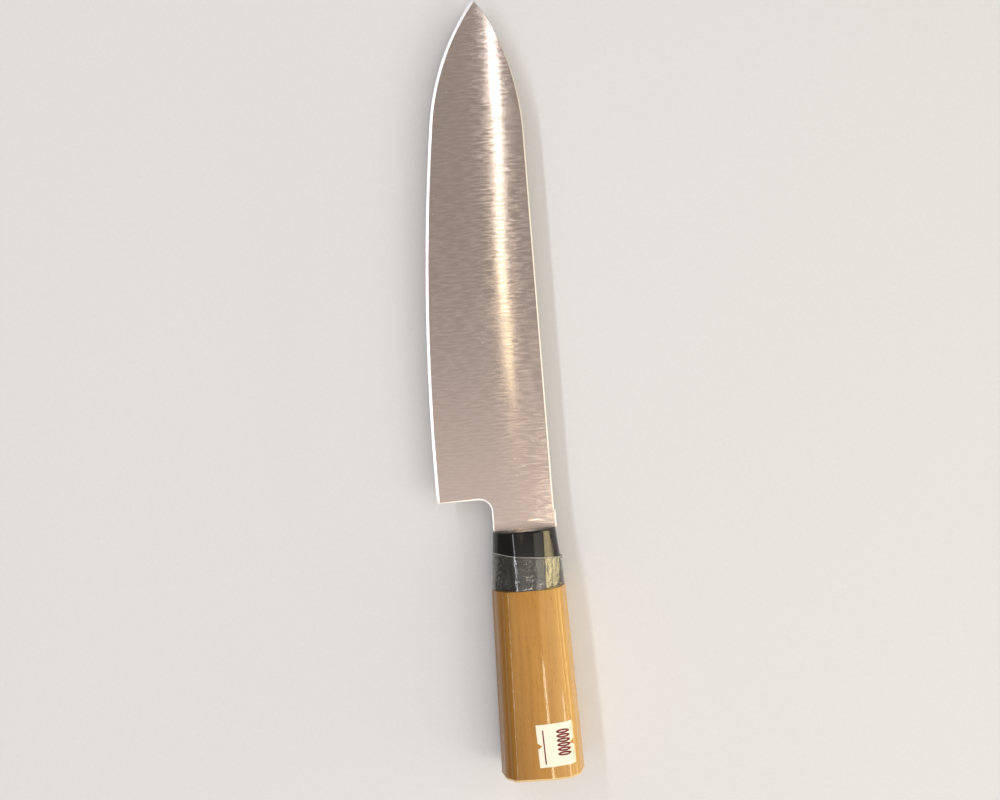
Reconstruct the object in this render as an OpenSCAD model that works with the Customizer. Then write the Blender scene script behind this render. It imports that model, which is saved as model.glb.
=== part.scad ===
// Chef knife with a Japanese-style handle, lying on its side.
// +Y runs along the knife to the tip, +X from the cutting edge to the spine, +Z is up.
// The origin is under the middle of the knife, on the surface it lies on. Millimetres.

/* [Blade] */
// Length of the blade from the heel to the tip
blade_len = 210; // [160:1:270]
// Height of the blade from the spine to the lowest point of the edge
blade_height = 48.8; // [40:0.1:60]
// Thickness of the spine at the heel
spine_t = 2.2; // [1.6:0.05:3]
// Thickness that the spine would have at the tip, before the edge is ground
tip_t = 1.7; // [1.2:0.05:2.4]
// Thickness of the blade just behind the edge bevel, at the heel
edge_t = 0.45; // [0.3:0.05:0.8]
// Angle of the edge bevel on each side of the blade
bevel_angle = 11; // [8:0.5:18]
// Drop of the tip below the line of the spine
tip_drop = 17.2; // [10:0.1:24]
// Length of the stretch behind the tip where the spine curves down
spine_curve_len = 58; // [50:1:80]
// Length of the tighter curve of the spine at the point
point_len = 14; // [8:1:16]
// Distance from the heel to the lowest point of the edge
edge_low = 17; // [5:0.5:40]
// Radius of the long, nearly straight run of the edge
edge_run_r = 1050; // [800:10:2000]
// Length of the stretch behind the tip where the edge sweeps up
belly_len = 51; // [35:1:70]

/* [Neck] */
// Width of the neck between the heel notch and the spine
neck_w = 26.4; // [22:0.1:30]
// Length of the neck from the ferrule to the heel
neck_len = 13.4; // [10:0.1:20]
// Radius of the fillet between the neck and the heel
heel_fillet = 5; // [2:0.1:8]
// How far the unground end of the neck stands out at the spine
collar_step = 0.6; // [0.2:0.1:1]
// Length of that unground end along the spine
collar_step_len = 7.2; // [5:0.1:9]
// Length of the unground end across the faces of the neck
collar_len = 3.6; // [2:0.1:4.5]
// Thickness of the unground end of the neck
collar_t = 2.5; // [2.3:0.05:3.2]

/* [Tang] */
// Length of the tang behind the neck
tang_len = 72; // [50:1:85]
// Width of the tang at the neck
tang_w = 14; // [10:0.5:15]
// Width of the tang at its end
tang_end_w = 8; // [5:0.5:9]
// Thickness of the tang
tang_t = 2; // [1.5:0.05:2.3]
// Thickness of the adhesive on each side of the tang
adhesive_t = 1; // [0.5:0.1:1.5]

/* [Ferrule] */
// Length of the ferrule along the knife
ferrule_len = 24; // [18:0.5:30]
// Width of the ferrule at the neck
ferrule_front_w = 26.5; // [24:0.1:30]
// Thickness of the ferrule at the neck
ferrule_front_t = 20.4; // [19:0.1:24]
// Width of the ferrule where it meets the wood
ferrule_back_w = 30.4; // [28:0.1:34]
// Thickness of the ferrule where it meets the wood
ferrule_back_t = 23; // [21:0.1:26]
// Width of the ferrule's slanted sides at the front, seen from above
ferrule_slant_w = 7.4; // [5:0.1:9]
// Height of the ferrule's slanted sides at the front
ferrule_slant_h = 6.6; // [5:0.1:8]
// How many times as wide the slanted sides are at the back
ferrule_slant_ratio = 1.32; // [1:0.02:1.36]
// Radius that softens the ferrule's long corners
ferrule_corner_r = 7; // [4:0.1:9]
// Width of the rounded rim at the front of the ferrule
ferrule_rim = 0.8; // [0.4:0.1:1.5]
// Thickness of the ferrule's front wall
ferrule_wall = 3; // [2:0.1:5]
// Clearance round the tang in the front wall, and round the spigot in the ferrule
fit_gap = 0.2; // [0.1:0.05:0.4]

/* [Handle] */
// Length from the front of the ferrule to the butt
handle_len = 102; // [95:1:140]
// Width of the wood where it meets the ferrule
grip_front_w = 31; // [29:0.1:34]
// Thickness of the wood where it meets the ferrule
grip_front_t = 23.6; // [21:0.1:27]
// Width of the wood at the butt
grip_butt_w = 34.8; // [30:0.1:38]
// Thickness of the wood at the butt
grip_butt_t = 25.8; // [22:0.1:30]
// Width of the slanted facets, seen from above
facet_w = 4.6; // [3:0.1:6]
// Height of the slanted facets
facet_h = 8.2; // [6:0.1:9.5]
// Radius that softens the long corners of the wood
corner_r = 3; // [1:0.1:5]
// Width of the bevel round the butt
butt_rim = 0.8; // [0.3:0.1:2]
// Width of the spigot inside the ferrule
spigot_w = 21; // [19:0.1:22]
// Thickness of the spigot inside the ferrule
spigot_t = 14; // [10:0.1:15]

/* [Film] */
// Width of the clear film left round the ferrule, on its centre line
film_w = 13.8; // [6:0.1:16]
// Angle by which the film's front edge was cut askew
film_skew = 6.8; // [0:0.1:8]
// Thickness of the film
film_t = 0.25; // [0.15:0.01:0.4]

/* [Label] */
// Width of the paper label across the handle, seen from above
label_w = 14.9; // [10:0.1:16]
// Length of the paper label along the handle
label_len = 17.4; // [12:0.1:24]
// Distance of the label from the butt
label_from_butt = 6; // [3:0.1:20]
// Distance from the knife's centre line to the label's near side
label_offset = -1.3; // [-3:0.1:0]
// Angle by which the label was stuck on askew
label_tilt = 2; // [0:0.5:4]
// Depth of the die-cut notches in the sides of the label
notch_depth = 1.8; // [0.5:0.1:2.5]
// Width of those notches at the label's edge
notch_w = 2.6; // [1:0.1:4]
// Thickness of the paper
label_t = 0.15; // [0.1:0.01:0.3]

/* [Hidden] */

$fn = 96;
// Sides of a full turn of the long arcs of the blade
arc_fn = 1440;
// Steps in each softened corner of the handle and the ferrule
corner_steps = 4;
// Most of a flat's half length that a softened corner may take up
corner_share = 0.9;
// Gap between a thin covering and what it is stuck to
glue_gap = 0.03;
// Share of the drop to the tip that the spine's first curve takes
spine_drop_share = 0.51;
// Overlap that keeps joined shapes and cuts clear of each other's faces
over = 1;

// The blade in the knife's own axes: the ferrule's front is at y = 0, the centre line at x = 0
spine_x = neck_w / 2;
edge_x = spine_x - blade_height;
heel_y = neck_len;
tip_y = heel_y + blade_len;
tip = [spine_x - tip_drop, tip_y];
low_y = heel_y + edge_low;

// Spine: a straight run, an arc that leaves it smoothly, then a tighter arc that ends at the tip
spine_arc_y = tip_y - spine_curve_len;
spine_arc_len = spine_curve_len - point_len;
spine_arc_drop = spine_drop_share * tip_drop;
spine_arc_r = (spine_arc_len ^ 2 + spine_arc_drop ^ 2) / (2 * spine_arc_drop);
spine_arc_c = [spine_x - spine_arc_r, spine_arc_y];
point_from = [spine_x - spine_arc_drop, spine_arc_y + spine_arc_len];
point_in = (spine_arc_c - point_from) / spine_arc_r;
point_span = tip - point_from;
point_r = (point_span * point_span) / (2 * (point_span * point_in));
point_c = point_from + point_r * point_in;

// Edge: a long run of large radius, then an arc that leaves it smoothly and ends at the tip
run_c = [edge_x + edge_run_r, low_y];
belly_y = tip_y - belly_len;
belly_turn = asin((belly_y - low_y) / edge_run_r);
belly_in = [cos(belly_turn), -sin(belly_turn)];
belly_from = run_c - edge_run_r * belly_in;
belly_span = tip - belly_from;
belly_r = (belly_span * belly_span) / (2 * (belly_span * belly_in));
belly_c = belly_from + belly_r * belly_in;

// Slopes of the ground faces: the thickness falls from the spine to the edge and from heel to tip
grind_across = (spine_t - edge_t) / 2 / blade_height;
grind_along = (spine_t - tip_t) / 2 / blade_len;
grind_turn_y = -atan(grind_across);
grind_turn_x = -atan(grind_along * cos(grind_turn_y));
// Depth of the cut that makes the edge bevel, more than the bevel is wide anywhere
bevel_cut = spine_t / 2 / tan(bevel_angle) + over;

// Slot for the tang and the adhesive, from the front of the spigot into the wood
slot_w = tang_w + 2 * adhesive_t;
slot_t = tang_t + 2 * adhesive_t;
slot_end_y = -tang_len - adhesive_t;
spigot_y = -ferrule_wall - fit_gap;

// Place of the knife's own axes in the part
x_max = max(grip_butt_w / 2, spine_x + collar_step);
place = [-(x_max + edge_x) / 2, (handle_len - tip_y) / 2, grip_butt_t / 2];

// One quarter of a softened octagon: the two rounded corners beside a slanted side
function corner(p, from, to, r, grow) =
    let (n1 = [cos(from), sin(from)], n2 = [cos(to), sin(to)])
    let (c = p - r * (n1 + n2) / (1 + n1 * n2))
    [for (i = [0 : corner_steps])
        let (a = from + (to - from) * i / corner_steps)
        c + (r + grow) * [cos(a), sin(a)]];

// The corner radius is held within the flats that it runs into
function quarter(w, t, slant_w, slant_h, r, grow) =
    let (turn = atan2(slant_w, slant_h))
    let (side_room = (t / 2 - slant_h) / tan(turn / 2))
    let (top_room = (w / 2 - slant_w) / tan(45 - turn / 2))
    let (fit_r = min(r, corner_share * side_room, corner_share * top_room))
    concat(
        corner([w / 2, t / 2 - slant_h], 0, turn, fit_r, grow),
        corner([w / 2 - slant_w, t / 2], turn, 90, fit_r, grow));

// A whole softened octagon at a place along the knife
function ring(y, w, t, slant_w, slant_h, r, grow = 0) =
    let (q = quarter(w, t, slant_w, slant_h, r, grow), n = len(q) - 1)
    [for (p = concat(
        q,
        [for (i = [n : -1 : 0]) [-q[i].x, q[i].y]],
        [for (p = q) -p],
        [for (i = [n : -1 : 0]) [q[i].x, -q[i].y]]))
        [p.x, y, p.y]];

// The two triangles of a four-sided patch
function patch(a, b, c, d) = [[a, b, c], [a, c, d]];

// Solid through a row of rings that follow each other from the tip side to the butt side
module loft(rings) {
    n = len(rings[0]);
    last = len(rings) - 1;
    sides = [for (k = [0 : last - 1], i = [0 : n - 1])
        let (j = (i + 1) % n)
        each patch(k * n + i, (k + 1) * n + i, (k + 1) * n + j, k * n + j)];
    front = [for (i = [0 : n - 1]) i];
    back = [for (i = [n - 1 : -1 : 0]) last * n + i];
    polyhedron([for (r = rings) each r], concat([front], sides, [back]), convexity = 4);
}

// Open sleeve whose wall runs through four rings: round the outside and back through the inside
module sleeve(rings) {
    n = len(rings[0]);
    walls = [for (k = [0 : 3], i = [0 : n - 1])
        let (next = (k + 1) % 4, j = (i + 1) % n)
        each patch(k * n + i, next * n + i, next * n + j, k * n + j)];
    polyhedron([for (r = rings) each r], walls, convexity = 4);
}

// Outer size of the ferrule at a place behind its rim
function ferrule_ring(y, grow = 0) =
    let (share = (-y - ferrule_rim) / (ferrule_len - ferrule_rim))
    let (slant = 1 + (ferrule_slant_ratio - 1) * share)
    ring(y,
        ferrule_front_w + (ferrule_back_w - ferrule_front_w) * share,
        ferrule_front_t + (ferrule_back_t - ferrule_front_t) * share,
        ferrule_slant_w * slant, ferrule_slant_h * slant, ferrule_corner_r, grow);

module ferrule_form() {
    loft([
        ring(0, ferrule_front_w, ferrule_front_t,
            ferrule_slant_w, ferrule_slant_h, ferrule_corner_r, -ferrule_rim),
        ferrule_ring(-ferrule_rim),
        ferrule_ring(-ferrule_len)]);
}

module grip_form(grow = 0) {
    loft([
        ring(-ferrule_len, grip_front_w, grip_front_t, facet_w, facet_h, corner_r, grow),
        ring(-handle_len + butt_rim, grip_butt_w, grip_butt_t, facet_w, facet_h, corner_r, grow),
        ring(-handle_len, grip_butt_w, grip_butt_t, facet_w, facet_h, corner_r, grow - butt_rim)]);
}

// Flat-sided bar with round narrow sides, from one place along the knife back to another
module stadium(from_y, to_y, w, t) {
    translate([0, from_y, 0])
        rotate([90, 0, 0])
            linear_extrude(from_y - to_y) {
                square([w - t, t], center = true);
                for (side = [-1, 1])
                    translate([side * (w - t) / 2, 0])
                        circle(d = t);
            }
}

// Side view of the blade, with a margin along the edge for the bevel to be ground from
module blade_outline() {
    intersection() {
        union() {
            translate([edge_x - over, heel_y])
                square([blade_height + over, spine_arc_y - heel_y]);
            intersection() {
                translate(spine_arc_c)
                    circle(spine_arc_r, $fn = arc_fn);
                translate([edge_x - over, heel_y])
                    square([blade_height + over, point_from.y - heel_y]);
            }
            intersection() {
                translate(point_c)
                    circle(point_r, $fn = arc_fn);
                translate([edge_x - over, heel_y])
                    square([blade_height + over, blade_len + over]);
            }
        }
        union() {
            translate(belly_c)
                circle(belly_r + over, $fn = arc_fn);
            intersection() {
                translate(run_c)
                    circle(edge_run_r + over, $fn = arc_fn);
                translate(belly_from)
                    rotate(-belly_turn)
                        translate([-belly_len, -blade_len - edge_run_r / 2])
                            square([edge_run_r, blade_len + edge_run_r / 2]);
            }
        }
    }
    translate([-neck_w / 2, 0])
        square([neck_w, heel_y + over]);
    translate([-neck_w / 2 - heel_fillet, heel_y - heel_fillet])
        difference() {
            square([heel_fillet + over, heel_fillet + over]);
            circle(heel_fillet);
            translate([-over, heel_fillet])
                square([heel_fillet + 3 * over, 2 * over]);
        }
    square([spine_x + collar_step, collar_step_len]);
}

// Everything under the ground face of the upper side
module under_ground_face() {
    reach = 2 * (blade_len + handle_len);
    translate([spine_x, heel_y, spine_t / 2])
        rotate([grind_turn_x, grind_turn_y, 0])
            translate([-reach / 2, -reach / 2, -reach])
                cube(reach);
}

// What the whetstone takes off along an arc of the edge: both bevels, up to the keen edge
module bevel_stone(center, r, from_angle, to_angle) {
    rise = bevel_cut * tan(bevel_angle);
    clear = spine_t + collar_t;
    translate(center)
        rotate(from_angle)
            rotate_extrude(angle = to_angle - from_angle, $fn = arc_fn)
                polygon([
                    [r, 0], [r - bevel_cut, rise], [r - bevel_cut, clear], [r + 2 * over, clear],
                    [r + 2 * over, -clear], [r - bevel_cut, -clear], [r - bevel_cut, -rise]]);
}

module tang_solid() {
    translate([0, 0, -tang_t / 2])
        linear_extrude(tang_t)
            polygon([
                [-tang_w / 2, collar_len / 2], [tang_w / 2, collar_len / 2], [tang_w / 2, 0],
                [tang_end_w / 2, -tang_len], [-tang_end_w / 2, -tang_len], [-tang_w / 2, 0]]);
}

module blade() {
    belly_angle = 180 - belly_turn;
    heel_angle = 180 + 2 * asin((edge_low + over) / edge_run_r);
    tip_angle = belly_angle - 2 * asin(belly_len / belly_r);
    color("#a39a96")
        translate(place) {
            difference() {
                intersection() {
                    translate([0, 0, -spine_t])
                        linear_extrude(2 * spine_t)
                            blade_outline();
                    under_ground_face();
                    mirror([0, 0, 1])
                        under_ground_face();
                }
                bevel_stone(run_c, edge_run_r, belly_angle, heel_angle);
                bevel_stone(belly_c, belly_r, tip_angle, belly_angle);
            }
            translate([-neck_w / 2, 0, -collar_t / 2])
                cube([neck_w + collar_step, collar_len, collar_t]);
            tang_solid();
        }
}

module ferrule() {
    color("#141313")
        translate(place)
            difference() {
                ferrule_form();
                stadium(-ferrule_wall, -ferrule_len - over, spigot_w + 2 * fit_gap, spigot_t + 2 * fit_gap);
                translate([0, -ferrule_wall / 2, 0])
                    cube([tang_w + 2 * fit_gap, ferrule_wall + 2 * over, tang_t + 2 * fit_gap], center = true);
            }
}

module handle() {
    color("#c4914f")
        translate(place)
            difference() {
                union() {
                    grip_form();
                    stadium(spigot_y, -ferrule_len - over, spigot_w, spigot_t);
                }
                translate([-slot_w / 2, slot_end_y, -slot_t / 2])
                    cube([slot_w, spigot_y - slot_end_y + over, slot_t]);
            }
}

module tang_adhesive() {
    color("#d8c99a")
        translate(place)
            difference() {
                translate([-slot_w / 2, slot_end_y, -slot_t / 2])
                    cube([slot_w, spigot_y - slot_end_y, slot_t]);
                tang_solid();
            }
}

// Front edge of the film: each point lies on the line from the ferrule's rim to its back
function film_front(grow) =
    let (rim = ferrule_ring(-ferrule_rim, grow), back = ferrule_ring(-ferrule_len, grow))
    [for (i = [0 : len(rim) - 1])
        let (
            y = film_w - ferrule_len - rim[i].x * tan(film_skew),
            share = (y - rim[i].y) / (back[i].y - rim[i].y))
        rim[i] + (back[i] - rim[i]) * share];

module ferrule_film() {
    color("#cfd3d0", 0.35)
        translate(place)
            sleeve([
                film_front(glue_gap + film_t),
                ferrule_ring(-ferrule_len, glue_gap + film_t),
                ferrule_ring(-ferrule_len, glue_gap),
                film_front(glue_gap)]);
}

module price_label() {
    near_y = -handle_len + label_from_butt;
    color("#f7f2dc")
        translate(place)
            intersection() {
                difference() {
                    grip_form(glue_gap + label_t);
                    grip_form(glue_gap);
                }
                translate([label_offset, near_y, 0])
                    rotate(label_tilt)
                        linear_extrude(grip_butt_t)
                            difference() {
                                square([label_w, label_len]);
                                for (side = [0, label_w])
                                    translate([side, label_len / 2])
                                        scale(side == 0 ? 1 : -1)
                                            polygon([
                                                [0, -notch_w / 2], [notch_depth, 0], [0, notch_w / 2],
                                                [-over, notch_w / 2], [-over, -notch_w / 2]]);
                            }
            }
}

blade();
ferrule();
handle();
tang_adhesive();
ferrule_film();
price_label();
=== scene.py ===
import math

import bmesh
import bpy
from mathutils import Matrix, Vector
from mathutils.geometry import delaunay_2d_cdt


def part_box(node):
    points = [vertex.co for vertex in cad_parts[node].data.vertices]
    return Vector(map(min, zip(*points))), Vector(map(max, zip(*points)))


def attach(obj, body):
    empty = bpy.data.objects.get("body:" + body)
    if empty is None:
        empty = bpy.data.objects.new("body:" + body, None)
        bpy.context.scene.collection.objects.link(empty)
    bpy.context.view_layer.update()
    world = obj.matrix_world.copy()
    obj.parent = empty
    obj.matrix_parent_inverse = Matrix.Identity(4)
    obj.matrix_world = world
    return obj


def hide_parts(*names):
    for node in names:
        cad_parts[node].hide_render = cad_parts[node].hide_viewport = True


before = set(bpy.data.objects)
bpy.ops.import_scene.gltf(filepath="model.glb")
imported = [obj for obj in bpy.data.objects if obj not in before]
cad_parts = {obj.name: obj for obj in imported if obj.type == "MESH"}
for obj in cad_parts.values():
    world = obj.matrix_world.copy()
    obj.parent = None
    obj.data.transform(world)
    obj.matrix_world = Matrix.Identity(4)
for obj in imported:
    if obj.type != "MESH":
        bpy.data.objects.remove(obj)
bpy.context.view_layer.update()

# Blade
# One piece of stainless steel, stamped out and ground from spine to edge with strokes across the
# blade, then honed to a keen bevel. Its neck ends in a collar on the ferrule, and its tapered tang goes
# into the handle.

MM = 0.001
ferrule_low, ferrule_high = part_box("ferrule")
knife_axis_x = (ferrule_low.x + ferrule_high.x) / 2
knife_axis_z = (ferrule_low.z + ferrule_high.z) / 2
knife_origin = Vector((knife_axis_x, ferrule_high.y, knife_axis_z))
blade_low, blade_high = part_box("blade")

neck_w = 26.4
neck_len = 13.4
heel_fillet = 5.0
collar_step = 0.6
collar_step_len = 7.2
collar_half_t = 1.25
tip_drop = 17.2
spine_curve_len = 58.0
point_len = 14.0
spine_drop_share = 0.51
edge_low = 17.0
edge_run_radius = 1050.0
belly_len = 51.0
edge_half_t = 0.225
spine_half_t = 1.1
bevel_angle = math.radians(11)
spine_ease = 0.55
heel_roll = 2.7
butted_ease = 0.08
ease_limit = 0.6
collar_step_slant = 0.3
foot_row = 0.15
tang_start = 0.05
tang_w = 14.0
tang_end_w = 8.0
tang_half_t = 1.0

spine_x = neck_w / 2
heel_y = neck_len
edge_x = (blade_low.x - knife_origin.x) / MM
tip_y = (blade_high.y - knife_origin.y) / MM
tang_end_y = (blade_low.y - knife_origin.y) / MM
tip = Vector((spine_x - tip_drop, tip_y))
bevel_w = edge_half_t / math.tan(bevel_angle)
grind_slope = (spine_half_t - edge_half_t) / (spine_x - edge_x - bevel_w)

# The spine runs straight, bends down, and bends more tightly at the point.
spine_arc_len = spine_curve_len - point_len
spine_arc_drop = spine_drop_share * tip_drop
spine_arc_radius = (spine_arc_len ** 2 + spine_arc_drop ** 2) / (2 * spine_arc_drop)
spine_arc_center = Vector((spine_x - spine_arc_radius, tip_y - spine_curve_len))
point_from = Vector((spine_x - spine_arc_drop, tip_y - point_len))
point_in = (spine_arc_center - point_from) / spine_arc_radius
point_span = tip - point_from
point_radius = point_span.dot(point_span) / (2 * point_span.dot(point_in))
point_center = point_from + point_radius * point_in

# The edge is a long shallow arc, and then the belly.
run_center = Vector((edge_x + edge_run_radius, heel_y + edge_low))
belly_y = tip_y - belly_len
belly_turn = math.asin((belly_y - run_center.y) / edge_run_radius)
belly_in = Vector((math.cos(belly_turn), -math.sin(belly_turn)))
belly_from = run_center - edge_run_radius * belly_in
belly_span = tip - belly_from
belly_radius = belly_span.dot(belly_span) / (2 * belly_span.dot(belly_in))
belly_center = belly_from + belly_radius * belly_in


def edge_line(y):
    """Where the keen edge lies across the blade, at a place along it."""
    center, radius = (run_center, edge_run_radius) if y < belly_y else (belly_center, belly_radius)
    reach = min(max(y, heel_y), tip_y) - center.y
    return center.x - math.sqrt(radius ** 2 - reach ** 2)


def spine_line(y):
    """Where the spine lies across the blade, at a place along it."""
    if y < spine_arc_center.y:
        return spine_x
    in_point = y > point_from.y
    center, radius = (point_center, point_radius) if in_point else (spine_arc_center, spine_arc_radius)
    return center.x + math.sqrt(radius ** 2 - (min(y, tip_y) - center.y) ** 2)


def smooth(share):
    """A soft step from 0 to 1."""
    share = min(max(share, 0.0), 1.0)
    return share * share * (3 - 2 * share)


# The neck is relieved a little in front of the ferrule, behind a wavy line that is given by places across
# the blade and along it. It swells again where it meets the ferrule.
relief_line = ((-13.8, 3.9), (-5.0, 3.2), (7.0, 3.7), (13.8, 2.8))
relief_w = 0.8
relief_depth = 0.065
collar_swell = 0.1
collar_swell_len = 2.4


def half_thickness(x, y):
    """Half the steel's thickness: the ground wedge, the neck's relief and its swell, and the tang."""
    if y < 0:
        return tang_half_t
    ground = edge_half_t + grind_slope * max(x - edge_line(y) - bevel_w, 0.0)
    stretches = zip(relief_line, relief_line[1:])
    (left, left_y), (right, right_y) = next((s for s in stretches if x <= s[1][0]), relief_line[-2:])
    line_y = left_y + (right_y - left_y) * smooth((x - left) / (right - left))
    collar = collar_swell * max(1 - y / collar_swell_len, 0.0) ** 2
    collar -= relief_depth * smooth((line_y - y) / relief_w + 0.5)
    return min(ground + collar, collar_half_t)


def arc(center, radius, start, end, steps):
    """Points on an arc between two angles, both ends included."""
    angles = [start + (end - start) * i / steps for i in range(steps + 1)]
    return [center + radius * Vector((math.cos(a), math.sin(a))) for a in angles]


def run(start, end, spacing):
    """Points on a straight run about one spacing apart, both ends included."""
    start, end = Vector(start), Vector(end)
    steps = max(1, round((end - start).length / spacing))
    return [start.lerp(end, i / steps) for i in range(steps + 1)]


class Shell:
    """A mesh put together face by face, in millimetres from the middle of the ferrule's front."""

    def __init__(self):
        self.mesh = bmesh.new()
        self.known = {}

    def point(self, x, y, z):
        """The vertex at a place; places that coincide are one vertex."""
        key = (round(x, 4), round(y, 4), round(z, 4))
        if key not in self.known:
            self.known[key] = self.mesh.verts.new(knife_origin + MM * Vector((x, y, z)))
        return self.known[key]

    def face(self, corners, finish=0):
        """A face through some vertices, left out where they fall together."""
        corners = [v for i, v in enumerate(corners) if v not in corners[:i]]
        if len(corners) > 2:
            made = self.mesh.faces.new(corners)
            made.material_index = finish
            made.smooth = True

    def band(self, ring, next_ring, finish=0, closed=True):
        """A strip of faces between two rows of as many vertices."""
        for i in range(len(ring) if closed else len(ring) - 1):
            j = (i + 1) % len(ring)
            self.face([ring[i], ring[j], next_ring[j], next_ring[i]], finish)

    def tube(self, rings, finish=0):
        """A skin through a row of rings."""
        for ring, next_ring in zip(rings, rings[1:]):
            self.band(ring, next_ring, finish)

    def cover(self, loops, raised, inner=(), finish=0):
        """Triangles inside the first loop of flat places and outside the others; raised gives a vertex."""
        places = [p for loop in loops for p in loop] + list(inner)
        owner = [k for k, loop in enumerate(loops) for _ in loop] + [-1] * len(inner)
        rims = []
        for loop in loops:
            first = len(rims)
            rims += [(first + i, first + (i + 1) % len(loop)) for i in range(len(loop))]
        found, _, triangles, origins, _, _ = delaunay_2d_cdt(places, rims, [], 1, 1e-5)
        for triangle in triangles:
            owners = {owner[origins[i][0]] if origins[i] else -1 for i in triangle}
            in_hole = len(owners) == 1 and owners.pop() > 0
            if not in_hole:
                self.face([raised(found[i]) for i in triangle], finish)

    def piece(self, name, finishes, crease):
        """The finished object, creased between finishes and where faces meet at more than some degrees."""
        bmesh.ops.recalc_face_normals(self.mesh, faces=self.mesh.faces)
        for edge in self.mesh.edges:
            one_finish = len({face.material_index for face in edge.link_faces}) == 1
            edge.smooth = one_finish and edge.calc_face_angle(0.0) < math.radians(crease)
        data = bpy.data.meshes.new(name)
        self.mesh.to_mesh(data)
        self.mesh.free()
        for finish in finishes:
            data.materials.append(finish)
        made = bpy.data.objects.new(name, data)
        bpy.context.scene.collection.objects.link(made)
        return made


point_spacing = 4.0
neck_spacing = 1.0
heel_spacing = 2.0
arc_steps = {"spine": 18, "point": 8, "belly": 26, "edge": 40, "fillet": 12}
spine_arc_turn = math.asin(spine_arc_len / spine_arc_radius)
point_tip_turn = math.atan2(tip.y - point_center.y, tip.x - point_center.x)
belly_tip_turn = math.atan2(tip.y - belly_center.y, tip.x - belly_center.x)
heel_turn = math.pi + math.asin(edge_low / edge_run_radius)
heel = Vector((edge_line(heel_y), heel_y))
fillet_center = Vector((-spine_x - heel_fillet, heel_y - heel_fillet))
shoulder_x = spine_x + collar_step

spine_side = [Vector((shoulder_x, 0))]
spine_side += run((shoulder_x, foot_row), (shoulder_x, collar_step_len), neck_spacing)
straight_from = (spine_x, collar_step_len + collar_step_slant)
spine_side += run(straight_from, (spine_x, spine_arc_center.y), point_spacing)
spine_side += arc(spine_arc_center, spine_arc_radius, 0, spine_arc_turn, arc_steps["spine"])[1:]
spine_side += arc(point_center, point_radius, spine_arc_turn, point_tip_turn, arc_steps["point"])[1:-1]
edge_side = arc(belly_center, belly_radius, belly_tip_turn, math.pi - belly_turn, arc_steps["belly"])[:-1]
edge_side += arc(run_center, edge_run_radius, math.pi - belly_turn, heel_turn, arc_steps["edge"])
heel_side = run((heel.x + bevel_w, heel_y), (fillet_center.x, heel_y), heel_spacing)
heel_side += arc(fillet_center, heel_fillet, math.pi / 2, 0, arc_steps["fillet"])[1:]
heel_side += run((-spine_x, fillet_center.y), (-spine_x, foot_row), neck_spacing)[1:]
tang_side = [Vector((-spine_x, 0)), Vector((-tang_w / 2, 0))]
tang_side += run((-tang_w / 2, -tang_start), (-tang_end_w / 2, tang_end_y), point_spacing)
tang_side += run((tang_end_w / 2, tang_end_y), (tang_w / 2, -tang_start), point_spacing)
tang_side += [Vector((tang_w / 2, 0))]
outline = spine_side + edge_side + heel_side + tang_side
keen = [False] * len(spine_side) + [True] * len(edge_side) + [False] * len(heel_side + tang_side)


def corner_ease(i):
    """How wide and how deep the corner is eased at a place of the outline: rolled over wider at the heel,
    and left sharp where the neck stands on the ferrule."""
    here = outline[i]
    if here.y <= 0:
        return butted_ease, butted_ease
    depth = min(spine_ease, ease_limit * half_thickness(here.x, here.y))
    return depth * (heel_roll if i >= len(spine_side + edge_side) else 1.0), depth


# Below this sine of the turn, two runs of the outline are taken as one straight run.
nearly_straight = 0.2


def set_in(i, share):
    """A place of the outline, moved into the steel by a share of the bevel or of the eased corner."""
    count = len(outline)
    here, before, after = outline[i], outline[i - 1], outline[(i + 1) % count]
    ease = corner_ease(i)[0]
    to_here, from_here = (here - before).normalized(), (after - here).normalized()
    first_in, next_in = Vector((-to_here.y, to_here.x)), Vector((-from_here.y, from_here.x))
    first_by = share * (bevel_w if keen[i] and keen[i - 1] else ease)
    next_by = share * (bevel_w if keen[i] and keen[(i + 1) % count] else ease)
    turn = first_in.x * next_in.y - first_in.y * next_in.x
    if abs(turn) < nearly_straight:
        return here + (first_in + next_in).normalized() * max(first_by, next_by)
    return here + Vector((
        (first_by * next_in.y - next_by * first_in.y) / turn,
        (next_by * first_in.x - first_by * next_in.x) / turn))


ease_shares = (1.0, 0.5, 0.134, 0.0)
levels = [(1, share) for share in ease_shares] + [(-1, share) for share in reversed(ease_shares)]
blade = Shell()
grind_rim = [set_in(i, 1.0) for i in range(len(outline))]
rows = []
for side, share in levels:
    row = []
    for i, rim in enumerate(grind_rim):
        place = set_in(i, share)
        full = half_thickness(rim.x, rim.y)
        rolled = corner_ease(i)[1] * (1 - math.sqrt(1 - (1 - share) ** 2))
        drop = full * (1 - share) if keen[i] else rolled
        row.append(blade.point(place.x, place.y, side * (full - drop)))
    rows.append(row)
for row, next_row in zip(rows, rows[1:]):
    for i in range(len(outline)):
        j = (i + 1) % len(outline)
        in_tang = min(outline[i].y, outline[j].y) < 0
        blade.face([row[i], row[j], next_row[j], next_row[i]], 0 if in_tang else 1)

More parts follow.
